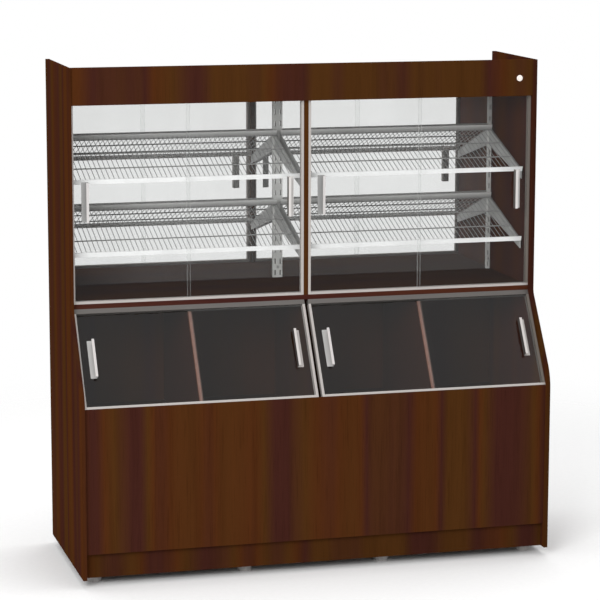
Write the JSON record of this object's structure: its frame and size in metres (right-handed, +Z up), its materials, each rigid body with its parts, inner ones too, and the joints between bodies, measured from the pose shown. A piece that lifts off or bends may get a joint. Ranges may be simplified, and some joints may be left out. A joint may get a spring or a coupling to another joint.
{
  "type": "bread display case",
  "caption": "Wood-board bread and cake display case with a mirror-backed glazed display of tilted wire shelves over sloped glazed bins, all with sliding glass panes",
  "frame": {"origin": "centre of the bounding box's footprint, on the floor under the feet", "axes": "+X to the right as the customer faces the case, -Y towards the customer, +Z up"},
  "size_m": [1.5, 0.56, 1.57],
  "materials": {
    "dark_wood_board": "dark tobacco wood-grain laminate on board, satin",
    "frame_aluminium": "satin natural anodised extrusion",
    "pane_glass": "clear float glass with ground edges",
    "pull_aluminium": "satin natural anodised extrusion",
    "back_mirror": "silvered flat mirror",
    "screw_steel": "zinc-plated",
    "fitting_paint": "light grey powder coat",
    "shelf_paint": "white epoxy coat, semi-gloss",
    "foot_plastic": "moulded grey plastic",
    "lamp_paint": "white powder coat",
    "lamp_diffuser_plastic": "opal diffuser",
    "switch_plastic": "white moulded plastic",
    "cable_rubber": "black sheath"
  },
  "bodies": {
    "case": {"back_panel": "dark_wood_board", "bin_divider_left": "dark_wood_board", "bin_divider_right": "dark_wood_board", "bin_floor_left": "dark_wood_board", "bin_floor_right": "dark_wood_board", "bottom_panel": "dark_wood_board", "centre_partition": "dark_wood_board", "centre_post": "dark_wood_board", "deck_panel": "dark_wood_board", "front_panel": "dark_wood_board", "header_board": "dark_wood_board", "lamp_body": "lamp_paint", "lamp_diffuser": "lamp_diffuser_plastic", "levelling_feet": "foot_plastic", "lower_head_batten": "dark_wood_board", "lower_jambs": "frame_aluminium", "lower_left_head_track": "frame_aluminium", "lower_left_sill_track": "frame_aluminium", "lower_right_head_track": "frame_aluminium", "lower_right_sill_track": "frame_aluminium", "mirror_back": "back_mirror", "plinth_stringers": "dark_wood_board", "shelf_brackets": "fitting_paint", "shelf_lower_left": "shelf_paint", "shelf_lower_right": "shelf_paint", "shelf_upper_left": "shelf_paint", "shelf_upper_right": "shelf_paint", "side_panel_left": "dark_wood_board", "side_panel_right": "dark_wood_board", "switch_body": "switch_plastic", "switch_cable": "cable_rubber", "toe_kick": "dark_wood_board", "top_panel": "dark_wood_board", "upper_jambs": "frame_aluminium", "upper_left_head_track": "frame_aluminium", "upper_left_sill_track": "frame_aluminium", "upper_right_head_track": "frame_aluminium", "upper_right_sill_track": "frame_aluminium", "upright_centre": "fitting_paint", "upright_left": "fitting_paint", "upright_right": "fitting_paint", "upright_screws": "screw_steel"},
    "lower_left_door_left": {"lower_left_pane_left": "pane_glass", "lower_left_pull_left": "pull_aluminium"},
    "lower_left_door_right": {"lower_left_pane_right": "pane_glass", "lower_left_pull_right": "pull_aluminium"},
    "lower_right_door_left": {"lower_right_pane_left": "pane_glass", "lower_right_pull_left": "pull_aluminium"},
    "lower_right_door_right": {"lower_right_pane_right": "pane_glass", "lower_right_pull_right": "pull_aluminium"},
    "upper_left_door_left": {"upper_left_pane_left": "pane_glass", "upper_left_pull_left": "pull_aluminium"},
    "upper_left_door_right": {"upper_left_pane_right": "pane_glass", "upper_left_pull_right": "pull_aluminium"},
    "upper_right_door_left": {"upper_right_pane_left": "pane_glass", "upper_right_pull_left": "pull_aluminium"},
    "upper_right_door_right": {"upper_right_pane_right": "pane_glass", "upper_right_pull_right": "pull_aluminium"},
    "switch_button": {"switch_button": "switch_plastic"}
  },
  "joints": [
    {"name": "lower_left_door_left_slide", "type": "slide", "parent": "case", "child": "lower_left_door_left", "axis": [1, 0, 0], "range_m": [0, 0.3]},
    {"name": "lower_left_door_right_slide", "type": "slide", "parent": "case", "child": "lower_left_door_right", "axis": [1, 0, 0], "range_m": [-0.3, 0]},
    {"name": "lower_right_door_left_slide", "type": "slide", "parent": "case", "child": "lower_right_door_left", "axis": [1, 0, 0], "range_m": [0, 0.3]},
    {"name": "lower_right_door_right_slide", "type": "slide", "parent": "case", "child": "lower_right_door_right", "axis": [1, 0, 0], "range_m": [-0.3, 0]},
    {"name": "upper_left_door_left_slide", "type": "slide", "parent": "case", "child": "upper_left_door_left", "axis": [1, 0, 0], "range_m": [0, 0.3]},
    {"name": "upper_left_door_right_slide", "type": "slide", "parent": "case", "child": "upper_left_door_right", "axis": [1, 0, 0], "range_m": [-0.3, 0]},
    {"name": "upper_right_door_left_slide", "type": "slide", "parent": "case", "child": "upper_right_door_left", "axis": [1, 0, 0], "range_m": [0, 0.3]},
    {"name": "upper_right_door_right_slide", "type": "slide", "parent": "case", "child": "upper_right_door_right", "axis": [1, 0, 0], "range_m": [-0.3, 0]},
    {"name": "switch_press", "type": "slide", "parent": "case", "child": "switch_button", "axis": [0, 1, 0], "range_m": [0, 0.002], "stiffness_N_per_m": 600}
  ]
}
